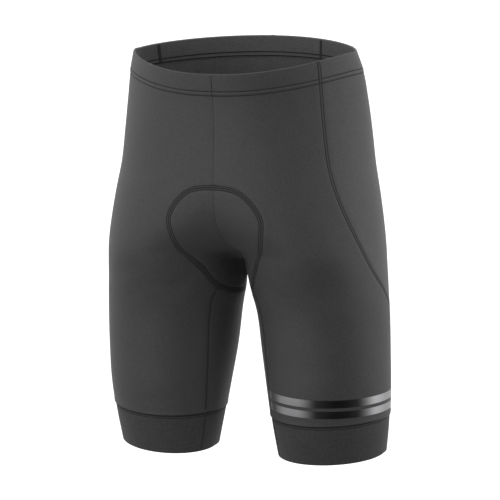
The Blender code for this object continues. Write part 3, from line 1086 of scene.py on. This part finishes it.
def reflective_film():
    """Retroreflective film of tiny glass beads on metal, pressed on knit: grey, with a
    wide soft mirror gloss and the ribs of the knit under it. Its colour is darkened on a stretch
    along the stripe: a painted reflection of the dark room in front of it."""
    material, tree, surface, place = new_material("glass_bead_reflective_film")
    split = add_node(tree, "ShaderNodeSeparateXYZ", links={0: (place, "UV")})
    ribs = wave_along(tree, split, "X", 0.01 / bpy.context.scene.shorts_sizes.rib_count)
    beads = add_node(tree, "ShaderNodeTexNoise", {"Scale": 1400.0, "Detail": 4.0},
                     {"Vector": (place, "Object")})
    height = add_node(tree, "ShaderNodeMath", {"operation": "MULTIPLY_ADD", 1: 2.5},
                      {0: (beads, "Fac"), 2: (ribs, 0)})
    bump = add_node(tree, "ShaderNodeBump", {"Strength": 0.35, "Distance": 0.00006},
                    {"Height": (height, 0)})
    # Painted reflection: the film's colour is darkened around a place along the stripe
    middle, dark, bright = FILM_PAINTED_REFLECTION
    off = add_node(tree, "ShaderNodeMath", {"operation": "SUBTRACT", 1: middle},
                   {0: (split, "X")})
    gap = add_node(tree, "ShaderNodeMath", {"operation": "ABSOLUTE"}, {0: (off, 0)})
    painted_reflection = add_node(tree, "ShaderNodeMapRange", {
        "interpolation_type": "SMOOTHSTEP", "From Min": dark, "From Max": bright,
        "To Min": 0.12, "To Max": 1.0}, {"Value": (gap, 0)})
    film = bpy.context.scene.shorts_colours.film
    tone = add_node(tree, "ShaderNodeVectorMath", {"operation": "SCALE", 0: film},
                    {"Scale": (painted_reflection, 0)})
    add_node(tree, surface, {"Metallic": 0.9, "Roughness": 0.30},
             {"Base Color": (tone, 0), "Normal": (bump, 0)})
    return material


MADE = {}


def stored(make):
    """The material that a function makes, made once."""
    key = make.__name__
    if key not in MADE:
        MADE[key] = make()
    return MADE[key]


# Operators


class SHORTS_OT_panels(Operator):
    """Dress the six panels"""
    bl_idname = "shorts.panels"
    bl_label = "Panels"

    def execute(self, context):
        for label, side in SIDES:
            front = side_seam(label, "front")
            rear = side_seam(label, "rear")
            self.panel("front", label, side, centre_panel(-1, front, FRONT_COLUMNS), panel_knit)
            self.panel("back", label, side, centre_panel(1, rear, BACK_COLUMNS), panel_knit)
            self.panel("side", label, side, side_panel(front, rear, SIDE_COLUMNS), side_knit)
        return {"FINISHED"}

    def panel(self, kind, label, side, grid, finish):
        """One panel on one side."""
        angle, height = grid
        base = skin(angle, height)
        square = outward(base)
        outer = base + square * panel_lift(label, base, height, angle)[..., None]
        inner = outer - WALL * square
        for wall in (outer, inner):
            wall[..., 0] = np.maximum(wall[..., 0], SEAM_GAP / 2)
        turned = (side < 0) != (kind == "back")
        piece = shell(f"cloth_{kind}_{label}", mirrored(outer, side), mirrored(inner, side),
                      False, [stored(finish), stored(casing_knit)],
                      inside=1, flip=turned)
        declare_cloth(f"{kind}_{label}")


class SHORTS_OT_waistband(Operator):
    """Dress the elastic waistband"""
    bl_idname = "shorts.waistband"
    bl_label = "Waistband"

    def execute(self, context):
        drop, bulge = rolled(BAND_HEIGHT, BAND_WALL, BAND_ROWS)
        angle = np.linspace(-1.0, 1.0, BAND_COLUMNS + 1)
        outer = []
        inner = []
        for at, shape in zip(drop, bulge):
            angles = angle * meeting_angle(waist_edge(np.pi / 2 * np.sign(angle + 1e-9)) - at)
            half = skin(angles, waist_edge(angles) - at)
            half[[0, -1], 0] = 0.0
            ring = np.concatenate([half, mirrored(half, -1)[-2:0:-1]])
            square = outward(ring)
            outer.append(ring + square * (band_lift(at) + shape))
            inner.append(ring + square * (BAND_STEP - BAND_WALL - shape))
        outer = np.array(outer)
        inner = np.array(inner)
        halves = []
        for label, _ in SIDES:
            front, rear = (side_seam(label, edge)(0.0) / meeting_angle(0.0) for edge in EDGES)
            halves.append(((angle > front) & (angle < rear)).astype(int))
        piece = shell("cloth_waistband", outer, inner, True,
                      [stored(panel_knit), stored(side_knit), stored(casing_knit)],
                      np.concatenate([halves[0], halves[1][-2:0:-1]]), inside=2)
        declare_cloth("waistband")
        return {"FINISHED"}


class SHORTS_OT_grippers(Operator):
    """Dress the two leg grippers"""
    bl_idname = "shorts.grippers"
    bl_label = "Leg grippers"

    def execute(self, context):
        rise, bulge = rolled(CUFF_HEIGHT, CUFF_WALL, CUFF_ROWS)
        start = inner_seam(settle(cuff_seam, inner_seam))
        angles = start + np.linspace(0.0, 2 * np.pi, CUFF_COLUMNS, endpoint=False)
        outer = []
        inner = []
        for at, shape in zip(CUFF_HEIGHT - rise[::-1], bulge[::-1]):
            ring = skin(angles, cuff_seam(angles) - at)
            square = outward(ring)
            outer.append(ring + square * (cuff_lift(at) + shape))
            inner.append(ring - square * (CUFF_STEP + CUFF_WALL + shape))
        outer = np.array(outer)
        inner = np.array(inner)
        for label, side in SIDES:
            piece = shell(f"cloth_gripper_{label}", mirrored(outer, side), mirrored(inner, side),
                          True, [stored(gripper_knit)], flip=side < 0)
            declare_cloth(f"cuff_{label}")
        return {"FINISHED"}


class SHORTS_OT_flat_seams(Operator):
    """Sew the flat seams between the panels, and tape the centre seam inside"""
    bl_idname = "shorts.flat_seams"
    bl_label = "Flat seams"

    def execute(self, context):
        for label, side in SIDES:
            for edge in EDGES:
                flat_seam(f"{edge}_{label}", LINES[f"{label}_{edge}"], side, seam_welt)
            flat_seam(f"inner_{label}", LINES["inner"], side, soft_welt, share=INNER_SHARE)
        flat_seam("centre_back", LINES["centre_back"], 1, seam_welt)
        for name in ("centre_front", "centre_back"):
            line = LINES[name]
            square = outward(line)
            inside = line + square * (line_lift(line) - WALL)[:, None]
            flat_strip(f"tape_{name}", inside, -square, 1,
                       context.scene.shorts_sizes.seam_width, casing_knit)
        return {"FINISHED"}


class SHORTS_OT_band_seams(Operator):
    """Sew the joins of the waistband's casing, in front and inside"""
    bl_idname = "shorts.band_seams"
    bl_label = "Waistband joins"

    def execute(self, context):
        width = context.scene.shorts_sizes.seam_width
        line = self.line(lambda height: -meeting_angle(height))
        square = outward(line)
        drop = waist_edge(-meeting_angle(line[:, 2])) - line[:, 2]
        face = line + square * (band_lift(drop) - FRONT_JOIN_SINK)[:, None]
        # Painted shade along the waistband's join in front
        flat_strip("join_front", face, square, 1, FRONT_JOIN_SHARE * width, dark_join)
        for label, side, start, end in BAND_JOINS:
            top = waist_edge(np.radians(start))
            line = self.line(lambda height, top=top, start=start, end=end: np.radians(
                start + (end - start) * (top - height) / BAND_HEIGHT))
            square = -outward(line)
            face = line + square * (BAND_WALL - BAND_STEP)
            flat_strip(f"join_inside_{label}", face, square, side,
                       INSIDE_JOIN_SHARE * width, panel_knit)
        return {"FINISHED"}

    def line(self, angle_of):
        """Points down the waistband, from below its rolled edge to its foot."""
        top = settle(waist_edge, angle_of) - BAND_WALL / 2
        return line_down(angle_of, top, settle(under_band, angle_of) + BAND_INSET)


class SHORTS_OT_pad_seam(Operator):
    """Sew the seam that holds the seat pad"""
    bl_idname = "shorts.pad_seam"
    bl_label = "Seat pad seam"

    def execute(self, context):
        for label, side in SIDES:
            flat_seam(f"pad_{label}", LINES["pad"], side, pad_welt, middle=True, share=PAD_SHARE)
        return {"FINISHED"}


class SHORTS_OT_band_stitching(Operator):
    """Sew the two rows of the waistband"""
    bl_idname = "shorts.band_stitching"
    bl_label = "Waistband stitching"

    def execute(self, context):
        sizes = context.scene.shorts_sizes
        for name, drop in (("upper", sizes.band_upper_row), ("lower", sizes.band_lower_row)):
            start, end = (settle(lambda angle: waist_edge(angle) - drop,
                                 lambda height: way * meeting_angle(height)) for way in (-1, 1))
            angle = np.linspace(-meeting_angle(start), meeting_angle(end), CURVE_SAMPLES)
            half = line_round(angle, waist_edge(angle) - drop)
            square = outward(half)
            for label, side in SIDES:
                stitched_groove(f"band_{name}_{label}", half + square * band_lift(drop),
                                square, side)
                stitched_groove(f"band_inside_{name}_{label}",
                                half + square * (BAND_STEP - BAND_WALL), -square, side)
        return {"FINISHED"}


class SHORTS_OT_gripper_stitching(Operator):
    """Sew the join and the row on each leg gripper"""
    bl_idname = "shorts.gripper_stitching"
    bl_label = "Gripper stitching"

    def execute(self, context):
        row = context.scene.shorts_sizes.cuff_row
        angle = np.linspace(-np.pi, np.pi, CURVE_SAMPLES)
        line = line_round(angle, cuff_seam(angle) - row)
        square = outward(line)
        join = line_round(angle, cuff_seam(angle) - CUFF_JOIN / 2)
        aside = outward(join)
        for label, side in SIDES:
            stitched_groove(f"gripper_{label}", line + square * cuff_lift(row), square, side)
            # Painted shade along the turned edge above the gripper
            flat_strip(f"join_gripper_{label}", join + aside * cuff_lift(CUFF_JOIN / 2), aside,
                       side, CUFF_JOIN, dark_join)
        return {"FINISHED"}


class SHORTS_OT_stripes(Operator):
    """Press the two reflective stripes on the left leg"""
    bl_idname = "shorts.stripes"
    bl_label = "Reflective stripes"

    def execute(self, context):
        thickness = context.scene.shorts_sizes.film_thickness
        angle = np.radians(np.linspace(*STRIPE_ENDS, STRIPE_COLUMNS))
        forward = np.maximum(-np.sin(angle), 0.0)
        hang = STRIPE_DROP * forward ** STRIPE_DROP_POWER
        for stripe in STRIPES:
            height = np.linspace(stripe.top, stripe.foot, STRIPE_ROWS)[:, None] - hang
            angles = np.broadcast_to(angle, height.shape)
            base = skin(angles, height)
            square = outward(base)
            cloth = base + square * panel_lift("left", base, height, angles)[..., None]
            shell(f"stripe_{stripe.name}", cloth + square * thickness, cloth - square * thickness,
                  False, [stored(reflective_film)])
        return {"FINISHED"}


class SHORTS_OT_stage(Operator):
    """Set up the floor, the soft lights and the camera"""
    bl_idname = "shorts.stage"
    bl_label = "Stage"

    def execute(self, context):
        bpy.ops.object.select_all(action="DESELECT")
        bpy.ops.mesh.primitive_circle_add(
            vertices=96, radius=FLOOR_RADIUS, fill_type="NGON", location=(0, 0, FLOOR_HEIGHT))
        floor = context.object
        floor.name = "floor"
        material, tree, surface, _ = new_material("matt_white_paint")
        add_node(tree, surface, {
            "Base Color": linear("#d0d0d0"), "Roughness": 0.9,
            "Emission Color": linear("#ffffff"), "Emission Strength": FLOOR_GLOW})
        floor.data.materials.append(material)
        floor.visible_diffuse = False
        floor.visible_glossy = False
        aim = Vector(CAMERA_AIM)
        for name, place_at, size, power in LIGHTS:
            spot = aim + RIGHT * place_at[0] + BACK * place_at[1] + UP * place_at[2]
            turn = (spot - aim).to_track_quat("Z", "Y").to_euler()
            bpy.ops.object.light_add(type="AREA", location=spot, rotation=turn)
            lamp = context.object
            lamp.name = name
            lamp.data.shape = "RECTANGLE"
            lamp.data.size = size[0]
            lamp.data.size_y = size[1]
            lamp.data.energy = power
            lamp.visible_camera = False
        spot = aim + CAMERA_BACK * CAMERA_DISTANCE
        bpy.ops.object.camera_add(
            location=spot, rotation=CAMERA_BACK.to_track_quat("Z", "Y").to_euler())
        camera = context.object
        camera.data.lens = LENS
        camera.data.sensor_width = SENSOR_WIDTH
        camera.data.clip_end = VIEW_END
        context.scene.camera = camera
        self.studio_air(context)
        return {"FINISHED"}

    def studio_air(self, context):
        """Pale light from all round, dimmer from below and from the camera's side."""
        world = bpy.data.worlds.new("studio")
        context.scene.world = world
        world.use_nodes = True
        tree = world.node_tree
        place = add_node(tree, "ShaderNodeTexCoord")
        shares = []
        for way, (start, end, left) in ((DARK_WAY, DARK_ROOM), (-UP, DARK_FLOOR)):
            facing = add_node(tree, "ShaderNodeVectorMath", {"operation": "DOT_PRODUCT", 1: way},
                              {0: (place, "Generated")})
            shares.append(add_node(tree, "ShaderNodeMapRange", {
                "interpolation_type": "SMOOTHSTEP", "From Min": start, "From Max": end,
                "To Min": 1.0, "To Max": left}, {"Value": (facing, "Value")}))
        both = add_node(tree, "ShaderNodeMath", {"operation": "MULTIPLY"},
                        {0: (shares[0], 0), 1: (shares[1], 0)})
        power = add_node(tree, "ShaderNodeMath", {"operation": "MULTIPLY", 1: AIR},
                         {0: (both, 0)})
        add_node(tree, tree.nodes["Background"], {"Color": (1.0, 1.0, 1.0, 1.0)},
                 {"Strength": (power, 0)})
        context.scene.view_settings.view_transform = "Standard"


# The studio. Light places are right, back (towards the camera) and up from the aim.
CAMERA_AIM = (0.004365, 0.001716, -0.24385)
CAMERA_BACK = Vector((0.36264, -0.92264, 0.13125)).normalized()
CAMERA_DISTANCE = 3.20
LENS = 180.9
SENSOR_WIDTH = 36.0
VIEW_END = 100.0
UP = Vector((0.0, 0.0, 1.0))
RIGHT = UP.cross(CAMERA_BACK).normalized()
BACK = RIGHT.cross(UP).normalized()
FLOOR_HEIGHT = -0.80
FLOOR_RADIUS = 34.0
FLOOR_GLOW = 0.75
LIGHTS = (
    ("light_left", (-1.00, 1.30, -0.1), (1.0, 1.2), 4.0),
    ("light_right", (1.35, 0.10, 0.0), (0.9, 1.6), 2.6),
)
AIR = 0.86
# The room is dark near one way, and so is the floor below. Each starts and ends at these
# cosines of the angle to it, and the third value is the share of light that is left.
DARK_WAY = CAMERA_BACK + 0.10 * RIGHT - 0.35 * UP
DARK_ROOM = (0.70, 0.98, 0.0)
DARK_FLOOR = (-0.10, 0.80, 0.30)


class SHORTS_PT_dress(Panel):
    """Sizes, colours and steps, in order"""
    bl_idname = "SHORTS_PT_dress"
    bl_label = "Cycling shorts"
    bl_space_type = "VIEW_3D"
    bl_region_type = "UI"
    bl_category = "Shorts"

    def draw(self, context):
        for group in (context.scene.shorts_sizes, context.scene.shorts_colours):
            box = self.layout.box()
            for key in group.bl_rna.properties.keys():
                if key not in ("rna_type", "name"):
                    box.prop(group, key)
        for step in STEPS:
            self.layout.operator(step.bl_idname)


STEPS = (
    SHORTS_OT_panels,
    SHORTS_OT_waistband,
    SHORTS_OT_grippers,
    SHORTS_OT_flat_seams,
    SHORTS_OT_band_seams,
    SHORTS_OT_pad_seam,
    SHORTS_OT_band_stitching,
    SHORTS_OT_gripper_stitching,
    SHORTS_OT_stripes,
    SHORTS_OT_stage,
)
CLASSES = (ShortsSizes, ShortsColours, *STEPS, SHORTS_PT_dress)


def register():
    """Add the classes and the scene's own settings."""
    for kind in CLASSES:
        bpy.utils.register_class(kind)
    bpy.types.Scene.shorts_sizes = PointerProperty(type=ShortsSizes)
    bpy.types.Scene.shorts_colours = PointerProperty(type=ShortsColours)


def unregister():
    """Take the classes and the settings away again."""
    del bpy.types.Scene.shorts_sizes
    del bpy.types.Scene.shorts_colours
    for kind in reversed(CLASSES):
        bpy.utils.unregister_class(kind)


def main():
    """Run every step in order."""
    register()
    bpy.ops.shorts.panels()
    bpy.ops.shorts.waistband()
    bpy.ops.shorts.grippers()
    bpy.ops.shorts.flat_seams()
    bpy.ops.shorts.band_seams()
    bpy.ops.shorts.pad_seam()
    bpy.ops.shorts.band_stitching()
    bpy.ops.shorts.gripper_stitching()
    bpy.ops.shorts.stripes()
    bpy.ops.shorts.stage()


if __name__ == "__main__":
    main()
